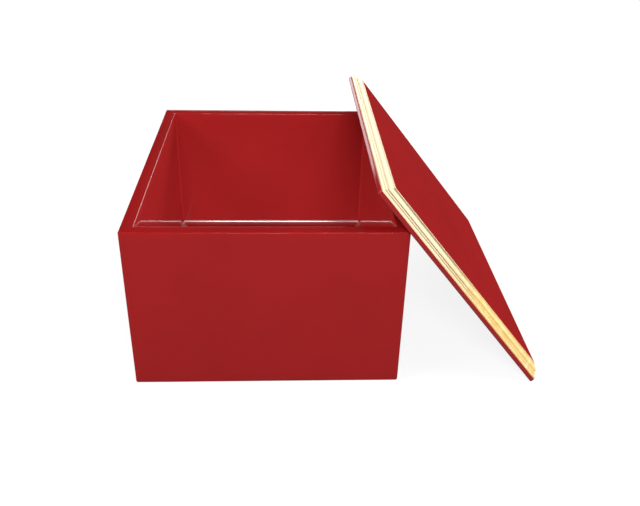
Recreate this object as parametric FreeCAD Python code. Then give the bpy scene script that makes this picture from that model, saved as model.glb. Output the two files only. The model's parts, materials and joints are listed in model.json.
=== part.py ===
"""Lacquered storage box with a loose lid that leans on its right side.

The origin is the centre of the box's underside. +X is right, +Y is the back and +Z is up, in millimetres.
The lid is built lying shut, centred on its own underside, and is then leant against the box.
"""
import FreeCAD
import Part
import math
import os

from FreeCAD import Vector

# Box, outside sizes and boards
box_width = 240.0
box_depth = 298.0
box_height = 156.0
wall = 11.5
base_thickness = 14.0
base_let_in = 5.5
upright_arris = 2.0
rim_arris = 1.5
underside_arris = 1.5

# Hidden loose tongues across the mitres of the box
spline_thickness = 3.0
spline_width = 9.0
spline_end_cover = 4.0

# Hollow of lacquer putty between floor and walls
cove_leg = 4.3
cove_radius = 5.0

# Lid, board with a clamp across each end
lid_overhang = 4.5
lid_thickness = 12.5
clamp_width = 28.0
tongue_thickness = 4.0
tongue_length = 8.0
tongue_end_cover = 4.0

# Red band round the lid's foot and the gilded moulding above it
band_height = 4.0
band_upright_arris = 2.0
band_lower_arris = 1.0
band_upper_arris = 0.8
moulding_setback = 1.0
moulding_width = 9.0
fillet_riser = 1.4
fillet_length = 2.7
bead_length = 5.8
bead_rise = 1.5
quirk_width = 1.1
quirk_depth = 0.8
top_fillet_width = 1.2

# Battens under the lid and their pegs
batten_width = 10.0
batten_height = 4.0
batten_clearance = 1.0
batten_slope_length = 5.0
batten_slope_height = 2.0
peg_diameter = 3.0
peg_depth = 9.0
peg_pitch = 100.0
pegs_per_batten = 3

# Pins from the front and rear moulding into the lid board
pin_diameter = 3.0
pin_clearance = 0.03
pin_end_clearance = 0.2
pin_height = 7.0
pin_in_moulding = 2.6
pin_in_board = 12.0

# How the lid leans: from its head batten down to the rim it leans on, and the gap there
batten_to_rim = 22.0
lean_gap = 0.1

# Sizes that follow
inner_width = box_width - 2 * wall
inner_depth = box_depth - 2 * wall
lid_length = box_width + 2 * lid_overhang
lid_depth = box_depth + 2 * lid_overhang
lid_ledge = moulding_setback + moulding_width
clamp_line = lid_length / 2 - clamp_width
head_reach = lid_overhang + wall + batten_clearance + batten_width + batten_to_rim
lean_angle = math.degrees(math.asin(box_height / (lid_length - head_reach)))
margin = 5.0

SIDES = {"front": (0, -1), "rear": (0, 1), "left": (-1, 0), "right": (1, 0)}


def block(x0, x1, y0, y1, z0, z1):
    """Box between two opposite corners."""
    return Part.makeBox(x1 - x0, y1 - y0, z1 - z0, Vector(x0, y0, z0))


def centred_block(length, depth, z0, z1):
    """Box centred on the Z axis."""
    return block(-length / 2, length / 2, -depth / 2, depth / 2, z0, z1)


def prism(points, direction):
    """Straight prism on a closed polygon of corner points."""
    outline = Part.makePolygon(points + [points[0]])
    return Part.Face(outline).extrude(direction)


def rounded_slab(length, depth, z0, z1, upright, lower, upper):
    """Centred slab with rounded upright edges, then rounded lower and upper edges."""
    slab = centred_block(length, depth, z0, z1)
    uprights = [e for e in slab.Edges if abs(e.Vertexes[0].Z - e.Vertexes[1].Z) > (z1 - z0) / 2]
    slab = slab.makeFillet(upright, uprights)
    for level, radius in ((z0, lower), (z1, upper)):
        ring = [e for e in slab.Edges if abs(e.BoundBox.ZMin - level) + abs(e.BoundBox.ZMax - level) < 1e-6]
        slab = slab.makeFillet(radius, ring)
    return slab


def mitre_wedge(side, length, depth, inward, z0, z1):
    """Plan of one side of a rectangular frame, cut at 45 degrees through both corners."""
    out_x, out_y = SIDES[side]
    half_x = length / 2
    half_y = depth / 2
    plan = []
    for reach, turn in ((-margin, -1), (-margin, 1), (inward, 1), (inward, -1)):
        if out_x:
            plan.append(Vector(out_x * (half_x - reach), turn * (half_y - reach), z0))
        else:
            plan.append(Vector(turn * (half_x - reach), out_y * (half_y - reach), z0))
    return prism(plan, Vector(0, 0, z1 - z0))


def frame_point(side, distance_in, along, height, length, depth):
    """Point of a rectangular frame: so far in from a side's outer edge, along that side, and up."""
    out_x, out_y = SIDES[side]
    if out_x:
        return Vector(out_x * (length / 2 - distance_in), along, height)
    return Vector(along, out_y * (depth / 2 - distance_in), height)


def corner_splines():
    """Upright loose tongues, square across each mitre of the box and hidden inside it."""
    splines = []
    low = base_thickness + spline_end_cover
    high = box_height - spline_end_cover
    for sign_x in (-1, 1):
        for sign_y in (-1, 1):
            spline = centred_block(spline_width, spline_thickness, low, high)
            spline.rotate(Vector(0, 0, 0), Vector(0, 0, 1), -45 * sign_x * sign_y)
            spline.translate(Vector(sign_x * (box_width - wall) / 2, sign_y * (box_depth - wall) / 2, 0))
            splines.append(spline)
    return splines


def box_boards(splines):
    """Four walls with rounded edges, rebated for the bottom board and mitred at the corners."""
    shell = rounded_slab(
        box_width, box_depth, 0, box_height, upright_arris, underside_arris, rim_arris)
    shell = shell.cut(centred_block(inner_width, inner_depth, -margin, box_height + margin))
    inner_rim = []
    for edge in shell.Edges:
        bounds = edge.BoundBox
        at_rim = abs(bounds.ZMin - box_height) + abs(bounds.ZMax - box_height) < 1e-6
        inside = abs(bounds.Center.x) < inner_width / 2 + 1e-3 and abs(bounds.Center.y) < inner_depth / 2 + 1e-3
        if at_rim and inside:
            inner_rim.append(edge)
    shell = shell.makeFillet(rim_arris, inner_rim)
    rebate = centred_block(
        inner_width + 2 * base_let_in, inner_depth + 2 * base_let_in, -margin, base_thickness)
    shell = shell.cut(rebate)
    for spline in splines:
        shell = shell.cut(spline)
    boards = {}
    for side in SIDES:
        wedge = mitre_wedge(side, box_width, box_depth, 2 * wall, -margin, box_height + margin)
        boards[side + "_board"] = shell.common(wedge)
    return boards


def bottom_board():
    """Plain bottom board, flush with the box's underside."""
    return centred_block(
        inner_width + 2 * base_let_in, inner_depth + 2 * base_let_in, 0, base_thickness)


def floor_coves():
    """Hollow strips of putty along the foot of each wall, mitred where they meet."""
    offset = (cove_leg + math.sqrt(2 * cove_radius ** 2 - cove_leg ** 2)) / 2
    middle = offset - cove_radius / math.sqrt(2)
    strips = []
    for side in SIDES:
        run = max(inner_width, inner_depth)

        def place(inward, up):
            return frame_point(side, inward, -run / 2, base_thickness + up, inner_width, inner_depth)

        hollow = Part.Arc(place(cove_leg, 0), place(middle, middle), place(0, cove_leg)).toShape()
        foot = Part.makeLine(place(0, 0), place(cove_leg, 0))
        back = Part.makeLine(place(0, cove_leg), place(0, 0))
        section = Part.Face(Part.Wire([foot, hollow, back]))
        along = Vector(0, run, 0) if SIDES[side][0] else Vector(run, 0, 0)
        wedge = mitre_wedge(
            side, inner_width, inner_depth, 2 * cove_leg, base_thickness - margin, base_thickness + 2 * cove_leg)
        strips.append(section.extrude(along).common(wedge))
    return strips


def moulding_section(place):
    """Gilded section on its 45-degree seat: lower fillet, quirk, bead, quirk and top fillet.

    Points are given along the slope from the moulding's outer foot and square to it, and the
    given function puts a distance in from the lid's edge and a height into space.
    """
    rise = lid_thickness - band_height
    slope = math.hypot(moulding_width, rise)
    run_in = moulding_width / slope
    run_up = rise / slope

    def on_slope(along, out):
        return place(
            moulding_setback + along * run_in - out * run_up, band_height + along * run_up + out * run_in)

    bead_start = fillet_length + quirk_width
    bead_end = bead_start + bead_length
    points = [
        place(moulding_setback, band_height),
        place(moulding_setback, band_height + fillet_riser),
        on_slope(fillet_length, 0),
        on_slope(fillet_length, -quirk_depth),
        on_slope(bead_start, -quirk_depth),
        on_slope(bead_start, 0),
    ]
    edges = [Part.makeLine(a, b) for a, b in zip(points, points[1:])]
    crown = on_slope((bead_start + bead_end) / 2, bead_rise)
    edges.append(Part.Arc(points[-1], crown, on_slope(bead_end, 0)).toShape())
    points = [
        on_slope(bead_end, 0),
        on_slope(bead_end, -quirk_depth),
        on_slope(bead_end + quirk_width, -quirk_depth),
        place(lid_ledge - top_fillet_width, lid_thickness - fillet_riser / 2),
        place(lid_ledge - top_fillet_width, lid_thickness),
        place(lid_ledge, lid_thickness),
        place(lid_ledge, band_height),
        place(moulding_setback, band_height),
    ]
    edges += [Part.makeLine(a, b) for a, b in zip(points, points[1:])]
    return Part.Face(Part.Wire(edges))


def moulding(side, bores):
    """One gilded strip, mitred at both ends and bored from behind for a pin."""
    run = max(lid_length, lid_depth)

    def place(inward, up):
        return frame_point(side, inward, -run / 2, up, lid_length, lid_depth)

    along = Vector(0, run, 0) if SIDES[side][0] else Vector(run, 0, 0)
    wedge = mitre_wedge(side, lid_length, lid_depth, 2 * lid_ledge, 0, lid_thickness + margin)
    strip = moulding_section(place).extrude(along).common(wedge)
    for bore in bores:
        strip = strip.cut(bore)
    return strip


def pin_cylinders(clearance, end_clearance):
    """Round bars along Y where the moulding meets the lid board, at the lid's middle."""
    bars = []
    length = pin_in_moulding + pin_in_board + 2 * end_clearance
    for sign_y in (-1, 1):
        start = sign_y * (lid_depth / 2 - lid_ledge + pin_in_moulding + end_clearance)
        bars.append(Part.makeCylinder(
            pin_diameter / 2 + clearance, length, Vector(0, start, pin_height), Vector(0, -sign_y, 0)))
    return bars


def peg_bars():
    """Bamboo pegs up through the battens and the clamps into the lid board's tongues."""
    bars = []
    for sign_x in (-1, 1):
        for index in range(pegs_per_batten):
            along = (index - (pegs_per_batten - 1) / 2) * peg_pitch
            foot = Vector(sign_x * batten_middle(), along, -batten_height)
            bars.append(Part.makeCylinder(peg_diameter / 2, batten_height + peg_depth, foot))
    return bars


def batten_middle():
    """Distance of a batten's middle line from the lid's middle."""
    return inner_width / 2 - batten_clearance - batten_width / 2


def batten(sign_x, pegs):
    """Low batten along Y whose ends slope so that the lid drops in easily."""
    reach = inner_depth / 2 - batten_clearance
    outer = sign_x * batten_middle() - batten_width / 2
    outline = [
        Vector(outer, -reach, 0),
        Vector(outer, reach, 0),
        Vector(outer, reach, -batten_height + batten_slope_height),
        Vector(outer, reach - batten_slope_length, -batten_height),
        Vector(outer, -reach + batten_slope_length, -batten_height),
        Vector(outer, -reach, -batten_height + batten_slope_height),
    ]
    bar = prism(outline, Vector(batten_width, 0, 0))
    for peg in pegs:
        bar = bar.cut(peg)
    return bar


def lid_boards(bores, pegs):
    """Lid board tongued into a clamp at each end, ledged all round for the moulding."""
    blank = rounded_slab(
        lid_length, lid_depth, 0, band_height, band_upright_arris, band_lower_arris, band_upper_arris)
    blank = blank.fuse(
        centred_block(lid_length - 2 * lid_ledge, lid_depth - 2 * lid_ledge, 0, lid_thickness))
    blank = blank.removeSplitter()
    tongue_low = (lid_thickness - tongue_thickness) / 2
    tongue_reach = lid_depth / 2 - lid_ledge - tongue_end_cover
    board = blank.common(centred_block(2 * clamp_line, lid_depth + margin, -margin, lid_thickness + margin))
    pieces = {}
    for name, sign_x in (("head", -1), ("foot", 1)):
        inner_x, outer_x = sorted((sign_x * clamp_line, sign_x * (clamp_line + tongue_length)))
        tongue = block(inner_x, outer_x, -tongue_reach, tongue_reach, tongue_low, tongue_low + tongue_thickness)
        near_x, far_x = sorted((sign_x * clamp_line, sign_x * (lid_length / 2 + margin)))
        end = block(near_x, far_x, -lid_depth, lid_depth, -margin, lid_thickness + margin)
        pieces["lid_clamp_" + name] = blank.common(end).cut(tongue)
        board = board.fuse(tongue)
    pieces["lid_board"] = board.removeSplitter()
    for name in pieces:
        for hole in bores + pegs:
            pieces[name] = pieces[name].cut(hole)
    return pieces


def lean(shape):
    """Lean the shut lid against the box's right rim, its foot on the floor.

    The lid's rounded foot edge rests on the floor, and its underside passes the rounded rim with
    the lean gap.
    """
    angle = math.radians(lean_angle)
    foot_run = lid_length / 2 - band_lower_arris
    rim_x = box_width / 2 - rim_arris
    rim_z = box_height - rim_arris
    plane = rim_x * math.sin(angle) + rim_z * math.cos(angle) + rim_arris + lean_gap
    foot_x = (plane + band_lower_arris * (1 - math.cos(angle))) / math.sin(angle)
    turned_x = foot_run * math.cos(angle) + band_lower_arris * math.sin(angle)
    turned_z = -foot_run * math.sin(angle) + band_lower_arris * math.cos(angle)
    leant = shape.copy()
    leant.rotate(Vector(0, 0, 0), Vector(0, 1, 0), lean_angle)
    leant.translate(Vector(foot_x - turned_x, 0, band_lower_arris - turned_z))
    return leant


def box_nodes():
    """Every piece of the box by name."""
    splines = corner_splines()
    nodes = box_boards(splines)
    nodes["bottom_board"] = bottom_board()
    nodes["corner_splines"] = Part.makeCompound(splines)
    nodes["floor_coves"] = Part.makeCompound(floor_coves())
    return nodes


def lid_nodes():
    """Every piece of the lid by name, lying shut."""
    bores = pin_cylinders(pin_clearance, pin_end_clearance)
    pegs = peg_bars()
    nodes = lid_boards(bores, pegs)
    for name, side in (("front", "front"), ("rear", "rear"), ("head", "left"), ("foot", "right")):
        nodes["moulding_" + name] = moulding(side, bores)
    nodes["batten_head"] = batten(-1, pegs)
    nodes["batten_foot"] = batten(1, pegs)
    nodes["batten_pegs"] = Part.makeCompound(pegs)
    nodes["moulding_pins"] = Part.makeCompound(pin_cylinders(0, 0))
    return nodes


def main():
    """Write every piece to its own file."""
    os.makedirs("parts", exist_ok=True)
    nodes = box_nodes()
    for name, shape in lid_nodes().items():
        nodes[name] = lean(shape)
    for name, shape in nodes.items():
        print(f"{name}: {len(shape.Solids)} solid(s), {shape.Volume / 1000:.2f} cm3, valid {shape.isValid()}")
        shape.exportStep(f"parts/{name}.step")
    pin_line = nodes["moulding_pins"].BoundBox.Center
    print(f"pin line at x {pin_line.x:.5f}, z {pin_line.z:.5f}, lid leans {lean_angle:.5f} degrees")


main()
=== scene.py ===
import json
import math

import bpy
import numpy as np
from mathutils import Matrix, Vector


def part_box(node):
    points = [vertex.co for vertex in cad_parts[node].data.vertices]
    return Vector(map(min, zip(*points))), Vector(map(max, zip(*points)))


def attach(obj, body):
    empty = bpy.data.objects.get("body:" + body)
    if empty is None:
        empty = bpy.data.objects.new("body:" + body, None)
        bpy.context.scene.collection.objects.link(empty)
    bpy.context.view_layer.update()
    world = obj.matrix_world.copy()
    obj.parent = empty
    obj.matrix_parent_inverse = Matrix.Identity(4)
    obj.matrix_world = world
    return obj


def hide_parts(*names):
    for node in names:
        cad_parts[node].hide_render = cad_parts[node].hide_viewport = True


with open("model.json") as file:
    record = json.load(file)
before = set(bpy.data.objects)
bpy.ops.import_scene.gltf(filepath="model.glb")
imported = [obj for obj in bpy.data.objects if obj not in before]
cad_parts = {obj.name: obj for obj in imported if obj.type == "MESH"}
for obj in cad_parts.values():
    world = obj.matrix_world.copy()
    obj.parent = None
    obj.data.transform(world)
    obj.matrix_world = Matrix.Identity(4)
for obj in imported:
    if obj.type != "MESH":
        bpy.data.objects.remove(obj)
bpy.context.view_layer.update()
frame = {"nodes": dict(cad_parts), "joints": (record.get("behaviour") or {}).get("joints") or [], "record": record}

MM = 0.001

# Walls: softened arrises, the rebate for the bottom board, the lacquer pooled in the coves, and the slight
# unevenness of the rubbed coat, a sum of long waves
ARRIS = 1.5 * MM
UPRIGHT_ARRIS = 2.0 * MM
BASE_LET_IN = 5.5 * MM
COVE_LEG = 5.2 * MM
COVE_RADIUS = 6.1 * MM
RIPPLE = 0.03 * MM
RIPPLE_LENGTHS = (45 * MM, 130 * MM)
RIPPLE_WAVES = 6
RIPPLE_SEED = 7

# Fineness of the meshes: longest step round a wall's outline, steps of a mitre's rounding, of the cove's
# hollow and of the reed and the bead, steps along a wall and a strip, and the angle of a sharp edge
LONGEST_STEP = 9.0 * MM
MITRE_STEPS = 12
COVE_STEPS = 12
BEAD_STEPS = 25
WALL_STEPS = 30
STRIP_STEPS = 24
SHARP_ANGLE = 32

# Section of the gilded moulding, along its slope from the lower fillet to the lid's top
SETBACK = 1.0 * MM
MOULDING_WIDTH = 9.0 * MM
BAND_HEIGHT = 4.0 * MM
SLOPE_BULGE = 0.6 * MM
FILLET_RISER = 1.2 * MM
FILLET_LENGTH = 2.5 * MM
QUIRK_WIDTH = 0.9 * MM
QUIRK_DEPTH = 0.3 * MM
REED_LENGTH = 1.2 * MM
REED_RISE = 0.05 * MM
BEAD_LENGTH = 4.2 * MM
BEAD_RISE = 0.7 * MM
TOP_FILLET = 0.9 * MM
# The gesso softens the section: spacing of its points, and how often each is drawn toward its neighbours
GESSO_SOFTENING = 0.12 * MM
SOFTENING_PASSES = 2
# A bend this tight or tighter counts as a whole crest or hollow
CREST_RADIUS = 0.6 * MM
MITRE_CORNER = 0.05 * MM

# Camera, in metres and degrees, and the focal length in pixels of the 640 by 506 frame
IMAGE_WIDTH = 640
SENSOR_WIDTH = 36.0
FOCAL_PIXELS = 749.0
CAMERA_PLACE = (0.01446, -0.68826, 0.44854)
CAMERA_TURN = -3.24
CAMERA_DIP = 30.00
CAMERA_ROLL = 1.54
CAMERA_NEAR = 0.01

# Lamps: compass direction seen from the box (0 is the camera's side, 90 its right), height angle,
# distance, width and height in metres, and power in watts
LAMPS = {
    "front_softbox": (2, 33, 1.7, 0.64, 0.4, 22.0),
    "left_softbox": (-68, 40, 1.7, 0.8, 0.7, 14.0),
    "right_softbox": (75, 47, 1.7, 0.9, 0.7, 13.0),
    "back_softbox": (155, 20, 1.6, 0.7, 0.5, 12.5),
    "side_card": (88, 6, 1.5, 1.6, 0.4, 6.0),
    "low_strip": (-172, 12.5, 1.5, 0.82, 0.26, 5.2)}
LAMP_AIM = (0.0, 0.0, 0.08)

# Floor and room: the floor's own glow, seen by the camera and in reflections alone, grows to white with
# the distance from the box, so that the shadow stays; the room is dim for everything but the camera
FLOOR_SIZE = 12
FLOOR_COLOUR = "696969"
FLOOR_GLOW = 0.86
GLOW_GROWS_FROM = 0.5
GLOW_GROWS_TO = 1.8
ROOM_LEVEL = 0.2

# Lacquer: slow drift of tone, pigment clumps (drawn coarser than they are so that they show), thin patches
# on arrises, cloth haze (drawn out up and down), orange peel, and longer waves of the rubbed ground
TONE_DRIFT = 70 * MM
PIGMENT_CLUMP = 0.9 * MM
PIGMENT_SHARE = 0.3
ARRIS_PATCH = 9 * MM
THIN_COAT_SHARE = 0.15
HAZE_PATCH = 28 * MM
HAZE_STRETCH = (1.0, 1.0, 0.35)
PEEL_LENGTH = 3.5 * MM
PEEL_HEIGHT = 0.002 * MM
GROUND_WAVE = 24 * MM
GROUND_HEIGHT = 0.02 * MM
# Clear coat where it is clear and where it is hazed, and the coloured coat beneath, on the flats and pooled
LACQUER_IOR = 1.54
CLEAR_ROUGHNESS = 0.02
HAZED_ROUGHNESS = 0.07
GROUND_ROUGHNESS = 0.45
HAZED_GROUND_SHARE = 1.25
POOLED_GROUND_ROUGHNESS = 0.28
POOLED_GROUND_GLOSS = 1.0
# Share of the clear gloss that is left outside, on the lid's face and edges, inside, on the inner arris
# (a share of the inside one) and in the coves
OUTSIDE_GLOSS = 0.08
LID_FACE_GLOSS = 0.01
LID_EDGE_GLOSS = 0.3
INSIDE_GLOSS = 0.55
INNER_ARRIS_SHARE = 0.4
COVE_GLOSS = 1.0
# Cosine of a surface's angle to the lid's face: from the first up it is face, from the second down edge
FACE_COSINE = 0.9
EDGE_COSINE = 0.6
# Share of the paler red painted on the inner walls as painted light, more toward the floor and on the two side
# walls, where less light reaches; below nothing it is painted shade that deepens the red on the rim and the lid,
# where more falls
SHELTERED_SHADE = 0.09
DEPTH_SHADE = 0.34
SIDE_SHADE = 0.38
RIM_SHADE = -0.22
LID_SHADE = -0.1
# Dust: size of the cells, of the speck in a cell, and share of the cells that hold one
DUST_SPACING = 9 * MM
DUST_RADIUS = 0.6 * MM
DUST_SHARE = 0.25

# Gold leaf: side of one leaf and its overlap, burnished patches, pinholes and crinkles
LEAF_SIZE = 109 * MM
LAP_WIDTH = 4 * MM
LAP_WANDER = 5 * MM
LAP_SHARE = 0.5
BURNISH_PATCH = 7 * MM
DULL_ROUGHNESS = 0.58
BURNISHED_ROUGHNESS = 0.44
PINHOLE = 0.8 * MM
PINHOLE_FROM = 0.72
PINHOLE_TO = 0.78
CREST_RUB = 0.06
CRINKLE = 0.7 * MM
CRINKLE_HEIGHT = 0.012 * MM
# Painted highlight and shade on the gold: place along the lid from which the cream painted highlight toward the
# head and the painted shade in the hollows fade, and the length over which they fade, how far the head end is
# roughened, the bend of a hollow that is fully shaded, how much painted shade covers it, what the head's own strip
# has of it, and the metal's shine that is left where something covers it
CLEANED_FROM = 20 * MM
CLEANED_OVER = 70 * MM
BLOOM_DULLING = 0.2
SOILED_AT = 0.3
GRIME_SHARE = 0.95
HEAD_GRIME = 0.04
COVERED_METALLIC = 0.2

# Hidden woods and pins
RING_SPACING = 2 * MM
RING_HEIGHT = 0.03 * MM
FIBRE_SPACING = 0.4 * MM
FIBRE_HEIGHT = 0.02 * MM
FIBRE_STRETCH = (1.0, 1.0, 0.08)
DRAW_LINE = 0.15 * MM
DRAW_STRETCH = (0.05, 1.0, 1.0)
WOOD_IOR = 1.5

OUTWARD = {"front": (0, -1), "rear": (0, 1), "left": (-1, 0), "right": (1, 0)}


def linear(code):
    """Linear colour of an sRGB hex code."""
    part = np.array([int(code[i:i + 2], 16) for i in (0, 2, 4)]) / 255
    value = np.where(part <= 0.04045, part / 12.92, ((part + 0.055) / 1.055) ** 2.4)
    return (*value.tolist(), 1.0)


def add_node(tree, kind, settings=None, links=None):
    """Adds a node, sets its fields and sockets, and links its inputs; sockets go by name or number."""
    node = tree.nodes.new(kind)
    for key, value in (settings or {}).items():
        if isinstance(key, int) or key in node.inputs:
            node.inputs[key].default_value = value
        else:
            setattr(node, key, value)
    for key, source in (links or {}).items():
        tree.links.new(source, node.inputs[key])
    return node


def new_material(name):
    """Empty node material and its output node."""
    material = bpy.data.materials.new(name)
    material.use_nodes = True
    material.node_tree.nodes.clear()
    output = material.node_tree.nodes.new("ShaderNodeOutputMaterial")
    return material, material.node_tree, output


def red_lacquer(name, outside_gloss, inside_gloss, ground_gloss=0.0, ground_roughness=GROUND_ROUGHNESS,
                overall_shade=0.0, dull_way=None):
    """Sprayed and hand-polished vermilion-red lacquer.

    The eye sees an opaque, very even red with a clear gloss, a slow drift of tone from the pigment,
    faint cloth-rub haze, a fine orange peel, a paler thin coat on the arrises and a little dust.
    Outside it is duller than inside. Painted light and shade tint the red: paler on the inner walls, deeper on the
    rim and the lid.
    With a dull way, surfaces that face it or its opposite have the outside gloss and the others the
    inside one.
    """
    material, tree, output = new_material(name)
    coordinates = add_node(tree, "ShaderNodeTexCoord")
    place = coordinates.outputs["Object"]
    drift = add_node(tree, "ShaderNodeTexNoise", {"Scale": 1 / TONE_DRIFT, "Detail": 3.0, "Roughness": 0.5},
                     {"Vector": place})
    tone = add_node(tree, "ShaderNodeValToRGB", {}, {"Fac": drift.outputs["Fac"]})
    for stop, (along, code) in zip(tone.color_ramp.elements, ((0.3, "931C1D"), (0.7, "991D1E"))):
        stop.position = along
        stop.color = linear(code)
    pigment = add_node(tree, "ShaderNodeTexNoise", {"Scale": 1 / PIGMENT_CLUMP, "Detail": 2.0},
                       {"Vector": place})
    share = add_node(tree, "ShaderNodeMapRange", {
        "From Min": 0.35, "From Max": 0.75, "To Max": PIGMENT_SHARE}, {"Value": pigment.outputs["Fac"]})
    body = add_node(tree, "ShaderNodeMix", {"data_type": "RGBA", 7: linear("8F1A1C")},
                    {0: share.outputs["Result"], 6: tone.outputs["Color"]})

    # Painted light and shade: the inner walls are painted paler, the rim and the lid deeper
    shade = add_node(tree, "ShaderNodeAttribute", {"attribute_name": "shade"})
    level = add_node(tree, "ShaderNodeMath", {"operation": "ADD", 1: overall_shade},
                     {0: shade.outputs["Fac"]})
    shaded = add_node(tree, "ShaderNodeMix", {
        "data_type": "RGBA", "clamp_factor": False, 7: linear("CF3637")},
        {0: level.outputs[0], 6: body.outputs[2]})

    # Thin coat on the arrises, broken where the polishing cloth took more of it
    arris = add_node(tree, "ShaderNodeAttribute", {"attribute_name": "arris"})
    patches = add_node(tree, "ShaderNodeTexNoise", {"Scale": 1 / ARRIS_PATCH, "Detail": 4.0},
                       {"Vector": place})
    thin = add_node(tree, "ShaderNodeMapRange", {
        "From Min": 0.4, "From Max": 0.7, "To Max": THIN_COAT_SHARE}, {"Value": patches.outputs["Fac"]})
    worn = add_node(tree, "ShaderNodeMath", {"operation": "MULTIPLY"},
                    {0: arris.outputs["Fac"], 1: thin.outputs["Result"]})
    edged = add_node(tree, "ShaderNodeMix", {"data_type": "RGBA", 7: linear("B4403A")},
                     {0: worn.outputs[0], 6: shaded.outputs[2]})

    # Dust inside the box: some cells hold one round speck, and it shows where the surface cuts it
    inside = add_node(tree, "ShaderNodeAttribute", {"attribute_name": "inside"})
    cells = add_node(tree, "ShaderNodeTexVoronoi", {"Scale": 1 / DUST_SPACING}, {"Vector": place})
    chosen = add_node(tree, "ShaderNodeMath", {"operation": "GREATER_THAN", 1: 1 - DUST_SHARE},
                      {0: cells.outputs["Color"]})
    near = add_node(tree, "ShaderNodeMath", {"operation": "LESS_THAN", 1: DUST_RADIUS / DUST_SPACING},
                    {0: cells.outputs["Distance"]})
    speck = add_node(tree, "ShaderNodeMath", {"operation": "MULTIPLY"},
                     {0: chosen.outputs[0], 1: near.outputs[0]})
    settled = add_node(tree, "ShaderNodeMath", {"operation": "MULTIPLY"},
                       {0: speck.outputs[0], 1: inside.outputs["Fac"]})
    dusty = add_node(tree, "ShaderNodeMix", {"data_type": "RGBA", 7: linear("C98A7C")},
                     {0: settled.outputs[0], 6: edged.outputs[2]})

    # Haze left by the cloth, and the fine orange peel over longer waves of the rubbed ground
    rub = add_node(tree, "ShaderNodeMapping", {"Scale": HAZE_STRETCH}, {"Vector": place})
    haze = add_node(tree, "ShaderNodeTexNoise", {"Scale": 1 / HAZE_PATCH, "Detail": 5.0, "Roughness": 0.6},
                    {"Vector": rub.outputs["Vector"]})
    clear = add_node(tree, "ShaderNodeMapRange", {
        "From Min": 0.35, "From Max": 0.7, "To Min": CLEAR_ROUGHNESS, "To Max": HAZED_ROUGHNESS},
        {"Value": haze.outputs["Fac"]})
    soft = add_node(tree, "ShaderNodeMapRange", {
        "From Min": 0.35, "From Max": 0.7,
        "To Min": ground_roughness, "To Max": ground_roughness * HAZED_GROUND_SHARE},
        {"Value": haze.outputs["Fac"]})
    peel = add_node(tree, "ShaderNodeTexNoise", {"Scale": 1 / PEEL_LENGTH, "Detail": 1.0}, {"Vector": place})
    wave = add_node(tree, "ShaderNodeTexNoise", {"Scale": 1 / GROUND_WAVE, "Detail": 1.0}, {"Vector": place})
    ground = add_node(tree, "ShaderNodeBump", {"Distance": GROUND_HEIGHT}, {"Height": wave.outputs["Fac"]})
    fine = add_node(tree, "ShaderNodeBump", {"Distance": PEEL_HEIGHT},
                    {"Height": peel.outputs["Fac"], "Normal": ground.outputs["Normal"]})

    # Gloss is kept inside the box, or on the lid away from the dull way
    kept_glossy = inside.outputs["Fac"]
    if dull_way:
        facing = add_node(tree, "ShaderNodeVectorMath", {"operation": "DOT_PRODUCT", 1: dull_way},
                          {0: coordinates.outputs["Normal"]})
        flat = add_node(tree, "ShaderNodeMath", {"operation": "ABSOLUTE"}, {0: facing.outputs["Value"]})
        turned = add_node(tree, "ShaderNodeMapRange", {"From Min": FACE_COSINE, "From Max": EDGE_COSINE},
                          {"Value": flat.outputs[0]})
        kept_glossy = turned.outputs["Result"]
    gloss = add_node(tree, "ShaderNodeMapRange", {"To Min": outside_gloss, "To Max": inside_gloss},
                     {"Value": kept_glossy})
    shader = add_node(tree, "ShaderNodeBsdfPrincipled", {
        "Specular IOR Level": ground_gloss, "IOR": LACQUER_IOR, "Coat IOR": LACQUER_IOR}, {
        "Base Color": dusty.outputs[2], "Roughness": soft.outputs["Result"],
        "Coat Weight": gloss.outputs["Result"], "Coat Roughness": clear.outputs["Result"],
        "Normal": fine.outputs["Normal"], "Coat Normal": fine.outputs["Normal"]})
    tree.links.new(shader.outputs["BSDF"], output.inputs["Surface"])
    return material


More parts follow.
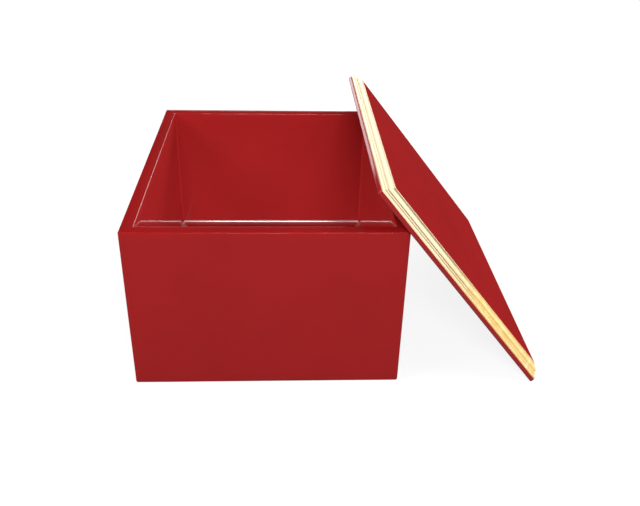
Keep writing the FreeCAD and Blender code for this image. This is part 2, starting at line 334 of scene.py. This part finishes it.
def gold_leaf():
    """Gold leaf laid over red lacquer and lightly burnished.

    The eye sees a warm yellow metal, paler where it is burnished, with the overlaps of the leaves
    every hundred millimetres, a crinkled fine grain and a few pinholes where the red shows through.
    Toward the head it is painted cream, a painted highlight, and its hollows are painted dark brown, painted shade
    and dark reflection; both fade toward the foot.
    """
    material, tree, output = new_material("burnished_gold_leaf")
    place = add_node(tree, "ShaderNodeTexCoord").outputs["Object"]
    clouds = add_node(tree, "ShaderNodeTexNoise", {
        "Scale": 1 / BURNISH_PATCH, "Detail": 4.0, "Roughness": 0.6}, {"Vector": place})
    tone = add_node(tree, "ShaderNodeValToRGB", {}, {"Fac": clouds.outputs["Fac"]})
    for stop, (along, code) in zip(tone.color_ramp.elements, ((0.32, "E0BF7C"), (0.68, "E7CC90"))):
        stop.position = along
        stop.color = linear(code)

    # Overlap of one leaf on the next: a narrow paler stripe with an uneven edge
    run = add_node(tree, "ShaderNodeAttribute", {"attribute_name": "run"})
    wander = add_node(tree, "ShaderNodeTexNoise", {"Scale": 1 / LAP_WANDER, "Detail": 3.0}, {"Vector": place})
    shifted = add_node(tree, "ShaderNodeMath", {"operation": "MULTIPLY_ADD", 1: LAP_WIDTH},
                       {0: wander.outputs["Fac"], 2: run.outputs["Fac"]})
    phase = add_node(tree, "ShaderNodeMath", {"operation": "PINGPONG", 1: LEAF_SIZE / 2},
                     {0: shifted.outputs[0]})
    lap = add_node(tree, "ShaderNodeMath", {"operation": "LESS_THAN", 1: LAP_WIDTH / 2},
                   {0: phase.outputs[0]})
    lapped = add_node(tree, "ShaderNodeMath", {"operation": "MULTIPLY", 1: LAP_SHARE}, {0: lap.outputs[0]})
    leafed = add_node(tree, "ShaderNodeMix", {"data_type": "RGBA", 7: linear("EDDFB5")},
                      {0: lapped.outputs[0], 6: tone.outputs["Color"]})
    # Painted highlight: the leaf is painted cream toward the head, fading toward the foot
    bloom = add_node(tree, "ShaderNodeAttribute", {"attribute_name": "bloom"})
    bloomed = add_node(tree, "ShaderNodeMix", {"data_type": "RGBA", 7: linear("EDDEBE")},
                       {0: bloom.outputs["Fac"], 6: leafed.outputs[2]})

    # Pinholes and rubbed spots, mostly on the crests, show the red ground
    crest = add_node(tree, "ShaderNodeAttribute", {"attribute_name": "arris"})
    holes = add_node(tree, "ShaderNodeTexNoise", {"Scale": 1 / PINHOLE, "Detail": 2.0, "Roughness": 0.7},
                     {"Vector": place})
    rubbed = add_node(tree, "ShaderNodeMath", {"operation": "MULTIPLY_ADD", 1: CREST_RUB},
                      {0: crest.outputs["Fac"], 2: holes.outputs["Fac"]})
    bare = add_node(tree, "ShaderNodeMapRange", {"From Min": PINHOLE_FROM, "From Max": PINHOLE_TO},
                    {"Value": rubbed.outputs[0]})
    coloured = add_node(tree, "ShaderNodeMix", {"data_type": "RGBA", 7: linear("A84A2A")},
                        {0: bare.outputs["Result"], 6: bloomed.outputs[2]})
    # Painted shade and dark reflection: the hollows are painted dark brown toward the head, less on its own strip
    grime = add_node(tree, "ShaderNodeAttribute", {"attribute_name": "grime"})
    soiled = add_node(tree, "ShaderNodeMapRange", {"From Max": SOILED_AT, "To Max": GRIME_SHARE},
                      {"Value": grime.outputs["Fac"]})
    dirty = add_node(tree, "ShaderNodeMix", {"data_type": "RGBA", 7: linear("46340C")},
                     {0: soiled.outputs["Result"], 6: coloured.outputs[2]})

    # Bare spots and the painted hollow shade lose the metal's shine, and the head end is roughened
    cover = add_node(tree, "ShaderNodeMath", {"operation": "MAXIMUM"},
                     {0: bare.outputs["Result"], 1: soiled.outputs["Result"]})
    metal = add_node(tree, "ShaderNodeMapRange", {"To Min": 1.0, "To Max": COVERED_METALLIC},
                     {"Value": cover.outputs[0]})
    dull = add_node(tree, "ShaderNodeMapRange", {
        "From Min": 0.3, "From Max": 0.7, "To Min": DULL_ROUGHNESS, "To Max": BURNISHED_ROUGHNESS},
        {"Value": clouds.outputs["Fac"]})
    frosted = add_node(tree, "ShaderNodeMath", {"operation": "MULTIPLY_ADD", 1: BLOOM_DULLING},
                       {0: bloom.outputs["Fac"], 2: dull.outputs["Result"]})
    crinkle = add_node(tree, "ShaderNodeTexNoise", {"Scale": 1 / CRINKLE, "Detail": 3.0, "Roughness": 0.6},
                       {"Vector": place})
    relief = add_node(tree, "ShaderNodeBump", {"Distance": CRINKLE_HEIGHT},
                      {"Height": crinkle.outputs["Fac"]})
    shader = add_node(tree, "ShaderNodeBsdfPrincipled", {}, {
        "Base Color": dirty.outputs[2], "Metallic": metal.outputs["Result"], "Roughness": frosted.outputs[0],
        "Normal": relief.outputs["Normal"]})
    tree.links.new(shader.outputs["BSDF"], output.inputs["Surface"])
    return material


def planed_softwood():
    """Planed cypress for the hidden splines: pale, with darker lines of late wood every 2 mm."""
    material, tree, output = new_material("planed_cypress")
    place = add_node(tree, "ShaderNodeTexCoord").outputs["Object"]
    rings = add_node(tree, "ShaderNodeTexWave", {
        "Scale": 1 / RING_SPACING / 2, "Distortion": 2.0, "Detail": 2.0, "Detail Scale": 0.5},
        {"Vector": place})
    tone = add_node(tree, "ShaderNodeValToRGB", {}, {"Fac": rings.outputs["Fac"]})
    for stop, (along, code) in zip(tone.color_ramp.elements, ((0.35, "D9BC8E"), (0.95, "B98F5C"))):
        stop.position = along
        stop.color = linear(code)
    relief = add_node(tree, "ShaderNodeBump", {"Distance": RING_HEIGHT}, {"Height": rings.outputs["Fac"]})
    shader = add_node(tree, "ShaderNodeBsdfPrincipled", {"Roughness": 0.62, "IOR": WOOD_IOR},
                      {"Base Color": tone.outputs["Color"], "Normal": relief.outputs["Normal"]})
    tree.links.new(shader.outputs["BSDF"], output.inputs["Surface"])
    return material


def split_bamboo():
    """Split and scraped bamboo: straw colour with fine darker fibre bundles about 0.4 mm apart."""
    material, tree, output = new_material("split_bamboo")
    place = add_node(tree, "ShaderNodeTexCoord").outputs["Object"]
    stretched = add_node(tree, "ShaderNodeMapping", {"Scale": FIBRE_STRETCH}, {"Vector": place})
    fibres = add_node(tree, "ShaderNodeTexNoise", {"Scale": 1 / FIBRE_SPACING, "Detail": 2.0},
                      {"Vector": stretched.outputs["Vector"]})
    tone = add_node(tree, "ShaderNodeValToRGB", {}, {"Fac": fibres.outputs["Fac"]})
    for stop, (along, code) in zip(tone.color_ramp.elements, ((0.4, "DCC68C"), (0.65, "B4985A"))):
        stop.position = along
        stop.color = linear(code)
    relief = add_node(tree, "ShaderNodeBump", {"Distance": FIBRE_HEIGHT}, {"Height": fibres.outputs["Fac"]})
    shader = add_node(tree, "ShaderNodeBsdfPrincipled", {"Roughness": 0.45, "IOR": WOOD_IOR},
                      {"Base Color": tone.outputs["Color"], "Normal": relief.outputs["Normal"]})
    tree.links.new(shader.outputs["BSDF"], output.inputs["Surface"])
    return material


def drawn_brass():
    """Drawn brass wire: yellow metal with fine lengthwise draw lines and a slightly brown tarnish."""
    material, tree, output = new_material("drawn_brass_wire")
    place = add_node(tree, "ShaderNodeTexCoord").outputs["Object"]
    stretched = add_node(tree, "ShaderNodeMapping", {"Scale": DRAW_STRETCH}, {"Vector": place})
    lines = add_node(tree, "ShaderNodeTexNoise", {"Scale": 1 / DRAW_LINE, "Detail": 2.0},
                     {"Vector": stretched.outputs["Vector"]})
    tone = add_node(tree, "ShaderNodeValToRGB", {}, {"Fac": lines.outputs["Fac"]})
    tone.color_ramp.elements[0].color = linear("A9853F")
    tone.color_ramp.elements[1].color = linear("DDBB67")
    dull = add_node(tree, "ShaderNodeMapRange", {"To Min": 0.25, "To Max": 0.45},
                    {"Value": lines.outputs["Fac"]})
    shader = add_node(tree, "ShaderNodeBsdfPrincipled", {"Metallic": 1.0},
                      {"Base Color": tone.outputs["Color"], "Roughness": dull.outputs["Result"]})
    tree.links.new(shader.outputs["BSDF"], output.inputs["Surface"])
    return material


def ripple(place):
    """Unevenness of a hand-rubbed coat: a sum of long sine waves through space, in metres."""
    rng = np.random.default_rng(RIPPLE_SEED)
    total = np.zeros(place.shape[:-1])
    for _ in range(RIPPLE_WAVES):
        direction = rng.normal(size=3)
        direction /= np.linalg.norm(direction)
        length = rng.uniform(*RIPPLE_LENGTHS)
        total += np.sin(place @ direction * 2 * np.pi / length + rng.uniform(0, 2 * np.pi))
    return total * RIPPLE / 2


def rounded_outline(corners, steps=7):
    """Closed outline through corners (a, b, radius): each corner's arc touches both its sides.

    Gives rows (a, b, arris), where arris is sin(pi * share) along each arc and 0 on the flats.
    """
    rows = []
    for index, (a, b, radius) in enumerate(corners):
        if radius == 0:
            rows.append(np.array([[a, b, 0.0]]))
            continue
        here = np.array((a, b))
        before = np.array(corners[index - 1][:2]) - here
        after = np.array(corners[(index + 1) % len(corners)][:2]) - here
        before /= np.linalg.norm(before)
        after /= np.linalg.norm(after)
        half = np.arccos(before @ after) / 2
        centre = here + (before + after) / np.linalg.norm(before + after) * radius / np.sin(half)
        start = here + before * radius / np.tan(half) - centre
        end = here + after * radius / np.tan(half) - centre
        share = np.linspace(0, 1, steps)
        sweep = np.pi - 2 * half
        points = centre + (np.outer(np.sin((1 - share) * sweep), start)
                           + np.outer(np.sin(share * sweep), end)) / np.sin(sweep)
        rows.append(np.column_stack([points, np.sin(np.pi * share)]))
    return np.concatenate(rows)


def finer(outline, longest):
    """The closed outline with its long runs divided into equal steps."""
    following = np.roll(outline, -1, axis=0)
    pieces = []
    for start, end in zip(outline, following):
        count = max(1, math.ceil(np.linalg.norm(end[:2] - start[:2]) / longest))
        pieces.append(start + (end - start) * (np.arange(count) / count)[:, None])
    return np.concatenate(pieces)


def along_side(outline, side, length, depth, corner, wavy=0.0, steps=WALL_STEPS):
    """An outline of (inset, height, arris) carried along one side of a rectangle, mitre to mitre.

    Place along the side is share * (half run - inset - corner) + corner * sin(turn) and place out
    from the middle is half width - inset - corner + corner * cos(turn), where turn runs over 45
    degrees at each end and is 0 between. Gives the points, the arris mark and the run of each.
    """
    out_x, out_y = OUTWARD[side]
    half_run, half_width = (depth / 2, length / 2) if out_x else (length / 2, depth / 2)
    arc = np.linspace(0, np.pi / 4, MITRE_STEPS)
    turn = np.concatenate([-arc[::-1], np.zeros(steps - 1), arc])
    ends = np.ones(MITRE_STEPS)
    share = np.concatenate([-ends, np.linspace(-1, 1, steps + 1)[1:-1], ends])

    def surface(inset):
        run = share[:, None] * (half_run - inset - corner) + corner * np.sin(turn)[:, None]
        out = half_width - inset - corner + corner * np.cos(turn)[:, None]
        height = np.broadcast_to(outline[:, 1], run.shape)
        return np.stack([out * out_x - run * out_y, out * out_y + run * out_x, height], axis=-1), run

    inset = np.broadcast_to(outline[:, 0], (len(turn), len(outline)))
    place, run = surface(inset)
    if wavy:
        place, run = surface(inset + wavy * ripple(place))
    outer_half = outline[:, 0] < outline[:, 0].mean()
    arris = np.maximum(outline[None, :, 2], np.sin(2 * np.abs(turn))[:, None] * outer_half[None, :])
    return place, arris, run


def solid_piece(name, place, closed=False, **marks):
    """Mesh object of rings of points: quads between rings, a flat face on each end unless closed.

    Each mark, such as arris or run, becomes a number stored on the points.
    """
    count, around = place.shape[:2]
    index = np.arange(count * around).reshape(count, around)
    first = index if closed else index[:-1]
    second = np.roll(index, -1, axis=0) if closed else index[1:]
    quads = np.stack([first, second, np.roll(second, -1, axis=1), np.roll(first, -1, axis=1)], axis=-1)
    faces = quads.reshape(-1, 4).tolist()
    if not closed:
        faces += [index[0].tolist(), index[-1][::-1].tolist()]
    mesh = bpy.data.meshes.new(name)
    mesh.from_pydata(place.reshape(-1, 3).tolist(), [], faces)
    for key, values in marks.items():
        mark = mesh.attributes.new(key, "FLOAT", "POINT")
        mark.data.foreach_set("value", np.ascontiguousarray(values, dtype=np.float32).ravel())
    # The volume that the quads enclose is below nothing where they face inwards
    corners = place.reshape(-1, 3)[quads.reshape(-1, 4)]
    spans = np.cross(corners[:, 0] - corners[:, 2], corners[:, 1] - corners[:, 3])
    if np.einsum("ij,ij->i", corners.mean(axis=1), spans).sum() < 0:
        mesh.flip_normals()
    mesh.shade_smooth()
    mesh.set_sharp_from_angle(angle=math.radians(SHARP_ANGLE))
    piece = bpy.data.objects.new(name, mesh)
    bpy.context.scene.collection.objects.link(piece)
    return piece


def place_piece(piece, body, material, node):
    """Puts a finished piece on its body in place of a node."""
    piece.data.materials.append(material)
    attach(piece, body)
    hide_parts(node)


def box_sizes():
    """Outer length, depth and height of the box, its wall and the top of its floor, from the frame."""
    low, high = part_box("front_board")
    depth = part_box("rear_board")[1].y - low.y
    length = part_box("right_board")[1].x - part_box("left_board")[0].x
    return length, depth, high.z, high.y - low.y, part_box("bottom_board")[1].z


def build_walls(lacquer):
    """Four walls with softened arrises: a rounded section carried along each side, mitre to mitre.

    The inside mark is 1 on the inner face, a share of it round the inner arris and 0 elsewhere. The
    painted shading is the rim's painted shade on the rim, goes over to none across its arrises and, on the inner
    face, is painted light that grows in a straight line from the rim down to the floor, more on the side walls.
    """
    length, depth, height, wall, floor_top = box_sizes()
    outline = finer(rounded_outline([
        (0, 0, ARRIS), (0, height, ARRIS), (wall, height, ARRIS),
        (wall, floor_top, 0), (wall - BASE_LET_IN, floor_top, 0), (wall - BASE_LET_IN, 0, 0)]), LONGEST_STEP)
    inset, below_rim = outline[:, 0], height - outline[:, 1]
    off_rim = np.clip(below_rim / ARRIS, 0, 1)
    # A hair over one arris, so that the first row of the rounding counts too
    inner = (inset > wall - 1.01 * ARRIS) * np.where(off_rim == 1, 1, INNER_ARRIS_SHARE)
    for side in OUTWARD:
        place, arris, _ = along_side(outline, side, length, depth, UPRIGHT_ARRIS, wavy=1.0)
        # Painted light on the inner face, more toward the floor and on the side walls, and painted shade on the
        # rim
        deep = SHELTERED_SHADE + DEPTH_SHADE * below_rim / (height - floor_top)
        deep += SIDE_SHADE * (side in ("left", "right"))
        shade = RIM_SHADE * (1 - off_rim) + deep * off_rim * (inset > wall / 2)
        piece = solid_piece(side + "_wall_lacquered", place, arris=arris,
                            inside=np.broadcast_to(inner, arris.shape),
                            shade=np.broadcast_to(shade, arris.shape))
        place_piece(piece, "box", lacquer, side + "_board")


def build_coves(pooled):
    """Hollow between floor and walls: an arc through (leg, 0) and (0, leg), carried round the floor.

    Its centre stands middle off both faces, where middle = (leg + sqrt(2 * radius ** 2 - leg ** 2)) / 2,
    and the section's back is buried in the boards.
    """
    length, depth, _, wall, floor_top = box_sizes()
    middle = (COVE_LEG + math.sqrt(2 * COVE_RADIUS ** 2 - COVE_LEG ** 2)) / 2
    end = math.asin((middle - COVE_LEG) / COVE_RADIUS)
    sweep = np.linspace(np.pi / 2 - end, end, COVE_STEPS)
    hollow = np.stack([middle - COVE_RADIUS * np.sin(sweep), middle - COVE_RADIUS * np.cos(sweep)], axis=1)
    buried = [[-ARRIS, COVE_LEG], [-ARRIS, -ARRIS], [COVE_LEG, -ARRIS]]
    outline = np.concatenate([hollow[::-1], buried]) + np.array([wall, floor_top])
    outline = np.column_stack([outline, np.zeros(len(outline))])
    sides = [along_side(outline, side, length, depth, UPRIGHT_ARRIS)[0][:-1]
             for side in ("front", "right", "rear", "left")]
    piece = solid_piece("floor_coves_lacquered", np.concatenate(sides), closed=True)
    place_piece(piece, "box", pooled, "floor_coves")


def lid_placement():
    """Lean angle, and the leaning lid's own frame and sizes, read from the frame.

    Turned back by the lean angle, the lid's nodes give its length, depth and thickness and its middle.
    """
    carry, turn = frame["joints"]
    lean = math.radians(carry["range_deg"][1] - turn["range_deg"][1])
    back = np.array(Matrix.Rotation(-lean, 3, "Y"))
    names = ("lid_clamp_head", "lid_clamp_foot")
    points = np.array([v.co for name in names for v in frame["nodes"][name].data.vertices]) @ back.T
    low, high = points.min(0), points.max(0)
    origin = np.array([(low[0] + high[0]) / 2, (low[1] + high[1]) / 2, low[2]])
    return lean, origin, high - low


def leant(rings, lean, origin):
    """Points of the shut, centred lid moved to where it leans."""
    return (rings + origin) @ np.array(Matrix.Rotation(lean, 3, "Y")).T


def moulding_outline(thickness):
    """Gilded section: fillet, quirk, reed, quirk, bead, quirk and fillet on a slope that bulges.

    The slope stands bulge * (1 - u ** 2) off its chord, u running from -1 to 1 up the slope. The reed
    and the bead stand base + (rise - base) * (1 - x ** 2) ** 0.5 off the slope, x running from -1 to 1
    across them, and the gesso softens every edge. Rows are (inset, height, crest, hollow); crest and
    hollow are the outline's bend outwards and inwards, from 0 to 1.
    """
    rise = thickness - BAND_HEIGHT
    slope = math.hypot(MOULDING_WIDTH, rise)
    run_in, run_up = MOULDING_WIDTH / slope, rise / slope

    def round_moulding(start, length, base, top):
        across = np.linspace(-1, 1, BEAD_STEPS)
        return np.stack([start + (across + 1) * length / 2,
                         base + (top - base) * np.sqrt(np.clip(1 - across ** 2, 0, 1))], axis=1)

    reed_start = FILLET_LENGTH + QUIRK_WIDTH
    bead_start = reed_start + REED_LENGTH + QUIRK_WIDTH
    bead_end = bead_start + BEAD_LENGTH
    on_slope = np.concatenate([
        [[FILLET_LENGTH, 0], [FILLET_LENGTH, -QUIRK_DEPTH]],
        round_moulding(reed_start, REED_LENGTH, -QUIRK_DEPTH, REED_RISE),
        round_moulding(bead_start, BEAD_LENGTH, -QUIRK_DEPTH, BEAD_RISE),
        [[bead_end + QUIRK_WIDTH, -QUIRK_DEPTH]]])
    on_slope[:, 1] += SLOPE_BULGE * (1 - (2 * on_slope[:, 0] / slope - 1) ** 2)
    inset = SETBACK + on_slope[:, 0] * run_in - on_slope[:, 1] * run_up
    height = BAND_HEIGHT + on_slope[:, 0] * run_up + on_slope[:, 1] * run_in
    edge = SETBACK + MOULDING_WIDTH
    face = np.concatenate([
        [[SETBACK, BAND_HEIGHT], [SETBACK, BAND_HEIGHT + FILLET_RISER]],
        np.stack([inset, height], axis=1),
        [[edge - TOP_FILLET, thickness - FILLET_RISER / 2], [edge - TOP_FILLET, thickness],
         [edge, thickness]]])
    lengths = np.linalg.norm(np.diff(face, axis=0), axis=1)
    reach = np.concatenate([[0], np.cumsum(lengths)])
    sample = np.linspace(0, reach[-1], int(reach[-1] / GESSO_SOFTENING) + 1)
    fine = np.stack([np.interp(sample, reach, face[:, k]) for k in (0, 1)], axis=1)
    for _ in range(SOFTENING_PASSES):
        fine[1:-1] = (fine[:-2] + 2 * fine[1:-1] + fine[2:]) / 4
    # Bend, as one over a radius: the cross product of two steps over the cube of their length
    ahead, behind = fine[2:] - fine[1:-1], fine[1:-1] - fine[:-2]
    bend = np.pad(behind[:, 1] * ahead[:, 0] - behind[:, 0] * ahead[:, 1], 1) / GESSO_SOFTENING ** 3
    face = np.column_stack([fine, np.clip(bend * CREST_RADIUS, 0, 1), np.clip(-bend * CREST_RADIUS, 0, 1)])
    return np.concatenate([face, [[edge, BAND_HEIGHT, 0, 0]]])


def build_mouldings(gold):
    """Four gilded strips round the lid: the section carried along each side, mitre to mitre, and leant.

    The share toward the head is 1 toward the head and falls in a straight line to 0 toward the foot; it carries
    the painted highlight and, in the hollows, the painted shade.
    """
    lean, origin, size = lid_placement()
    outline = moulding_outline(size[2])
    for name, side in (("front", "front"), ("rear", "rear"), ("head", "left"), ("foot", "right")):
        place, crest, run = along_side(outline[:, :3], side, size[0], size[1], MITRE_CORNER,
                                       steps=STRIP_STEPS)
        # Painted highlight toward the head and painted shade in the hollows, both fading toward the foot
        untouched = np.clip((CLEANED_FROM - place[..., 0]) / CLEANED_OVER, 0, 1)
        grime = untouched * outline[:, 3] * (HEAD_GRIME if name == "head" else 1)
        piece = solid_piece(f"moulding_{name}_gilded", leant(place, lean, origin),
                            arris=crest, run=run, bloom=untouched, grime=grime)
        place_piece(piece, "lid", gold, "moulding_" + name)


def finish_nodes(by_slot, handled):
    """Gives every node its own finish; the lid's boards have the duller one, its red deepened by painted shade."""
    slots = {part["node"]: part["material_slot"] for part in frame["record"]["subparts"]}
    for name, node in frame["nodes"].items():
        node.data.materials.clear()
        node.data.materials.append(handled if name.startswith("lid_") else by_slot[slots[name]])


def lay_floor():
    """Pale matt floor that keeps a soft shadow and glows toward white away from the box."""
    bpy.ops.mesh.primitive_plane_add(size=FLOOR_SIZE)
    floor = bpy.context.object
    floor.name = "floor"
    material, tree, output = new_material("pale_floor")
    place = add_node(tree, "ShaderNodeTexCoord").outputs["Object"]
    away = add_node(tree, "ShaderNodeVectorMath", {"operation": "LENGTH"}, {"Vector": place})
    level = add_node(tree, "ShaderNodeMapRange", {
        "From Min": GLOW_GROWS_FROM, "From Max": GLOW_GROWS_TO, "To Min": FLOOR_GLOW, "To Max": 1.0},
        {"Value": away.outputs["Value"]})
    path = add_node(tree, "ShaderNodeLightPath")
    seen = add_node(tree, "ShaderNodeMath", {"operation": "ADD"},
                    {0: path.outputs["Is Camera Ray"], 1: path.outputs["Is Glossy Ray"]})
    glow = add_node(tree, "ShaderNodeMath", {"operation": "MULTIPLY"},
                    {0: seen.outputs[0], 1: level.outputs["Result"]})
    shader = add_node(tree, "ShaderNodeBsdfPrincipled", {
        "Base Color": linear(FLOOR_COLOUR), "Roughness": 0.9, "Specular IOR Level": 0.1,
        "Emission Color": (1, 1, 1, 1)}, {"Emission Strength": glow.outputs[0]})
    tree.links.new(shader.outputs["BSDF"], output.inputs["Surface"])
    floor.data.materials.append(material)


def light_room():
    """Plain room, dim for all but the camera, which sees it white."""
    world = bpy.data.worlds.new("surrounding")
    bpy.context.scene.world = world
    world.use_nodes = True
    tree = world.node_tree
    path = add_node(tree, "ShaderNodeLightPath")
    level = add_node(tree, "ShaderNodeMapRange", {"To Min": ROOM_LEVEL, "To Max": 1.0},
                     {"Value": path.outputs["Is Camera Ray"]})
    background = tree.nodes["Background"]
    background.inputs["Color"].default_value = (1, 1, 1, 1)
    tree.links.new(level.outputs["Result"], background.inputs["Strength"])


def set_lamps():
    """Rectangular lamps round the box, each looking at its middle."""
    for name, (compass, climb, distance, width, tall, power) in LAMPS.items():
        turn, rise = math.radians(compass), math.radians(climb)
        toward = Vector((math.sin(turn) * math.cos(rise), -math.cos(turn) * math.cos(rise), math.sin(rise)))
        data = bpy.data.lights.new(name, "AREA")
        data.shape = "RECTANGLE"
        data.size, data.size_y = width, tall
        data.energy = power
        lamp = bpy.data.objects.new(name, data)
        lamp.matrix_world = Matrix.Translation(Vector(LAMP_AIM) + toward * distance) @ (
            (-toward).to_track_quat("-Z", "Y").to_matrix().to_4x4())
        bpy.context.scene.collection.objects.link(lamp)


def set_camera():
    """Camera at the photograph's place, turned about Z, dipped and rolled."""
    turn, dip, roll = (math.radians(a) for a in (CAMERA_TURN, CAMERA_DIP, CAMERA_ROLL))
    forward = Vector((-math.sin(turn) * math.cos(dip), math.cos(turn) * math.cos(dip), -math.sin(dip)))
    level = Vector((math.cos(turn), math.sin(turn), 0))
    upward = level.cross(forward)
    right = math.cos(roll) * level + math.sin(roll) * upward
    up = math.cos(roll) * upward - math.sin(roll) * level
    data = bpy.data.cameras.new("camera")
    data.sensor_width = SENSOR_WIDTH
    data.lens = FOCAL_PIXELS * SENSOR_WIDTH / IMAGE_WIDTH
    data.clip_start = CAMERA_NEAR
    camera = bpy.data.objects.new("camera", data)
    rotation = Matrix((right, up, -forward)).transposed().to_4x4()
    camera.matrix_world = Matrix.Translation(CAMERA_PLACE) @ rotation
    bpy.context.scene.collection.objects.link(camera)
    bpy.context.scene.camera = camera


def main():
    lacquer = red_lacquer("polished_red_lacquer", OUTSIDE_GLOSS, INSIDE_GLOSS)
    # The coat pools in the coves, where it dries thicker and glossier than on the flats
    pooled = red_lacquer("pooled_red_lacquer", COVE_GLOSS, COVE_GLOSS,
                         POOLED_GROUND_GLOSS, POOLED_GROUND_ROUGHNESS)
    gold = gold_leaf()
    lean = lid_placement()[0]
    leant_up = (math.sin(lean), 0.0, math.cos(lean))
    # The lid's lacquer is duller, and its red is deepened by painted shade
    handled = red_lacquer("handled_red_lacquer", LID_FACE_GLOSS, LID_EDGE_GLOSS,
                          overall_shade=LID_SHADE, dull_way=leant_up)
    finish_nodes({"red_lacquer": lacquer, "gilding": gold, "bare_wood": planed_softwood(),
                  "bamboo": split_bamboo(), "pin_brass": drawn_brass()}, handled)
    build_walls(lacquer)
    build_coves(pooled)
    build_mouldings(gold)
    lay_floor()
    light_room()
    set_lamps()
    set_camera()
    bpy.context.scene.view_settings.view_transform = "Standard"


main()
